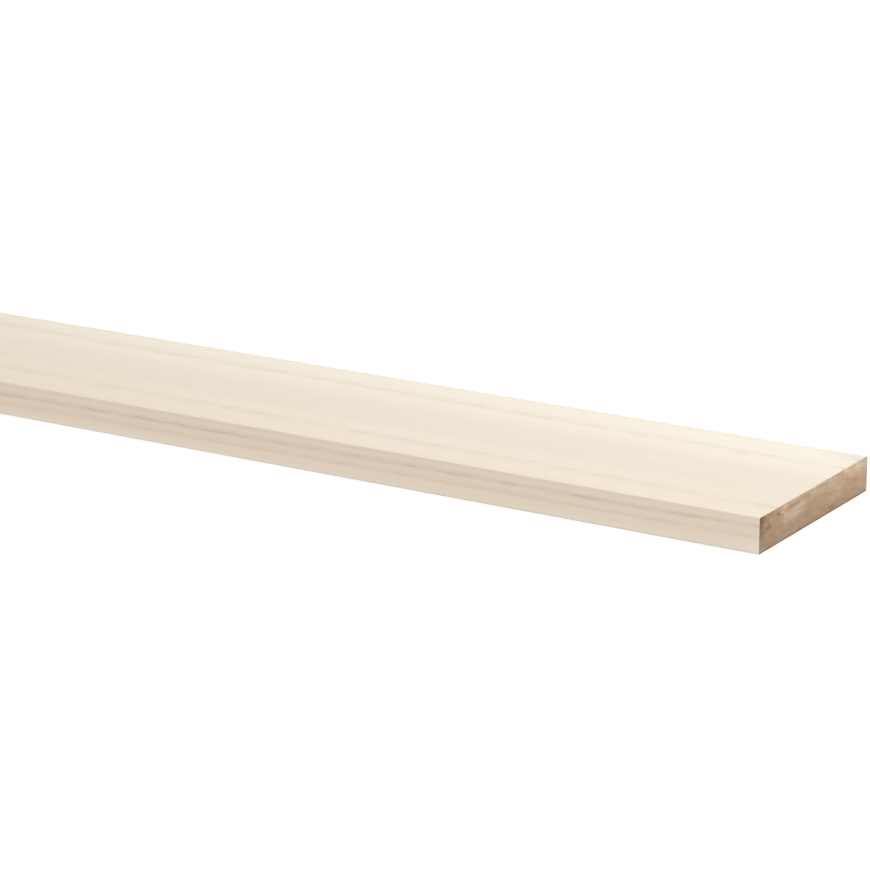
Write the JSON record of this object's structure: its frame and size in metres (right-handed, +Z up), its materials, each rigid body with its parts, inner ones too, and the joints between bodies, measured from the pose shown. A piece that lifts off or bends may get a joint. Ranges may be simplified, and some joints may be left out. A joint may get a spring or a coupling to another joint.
{
  "type": "timber plank",
  "caption": "Straight planed softwood plank with eased long edges and square-sawn ends, stock timber to be cut, screwed, nailed or glued.",
  "frame": {"origin": "middle of the underside, where the plank lies on the floor", "axes": "+X along the grain, +Y across the width, +Z up through the thickness"},
  "size_m": [1.8, 0.119, 0.018],
  "materials": {
    "whitewood": "matte"
  },
  "bodies": {
    "root": {"plank": "whitewood"}
  },
  "joints": []
}
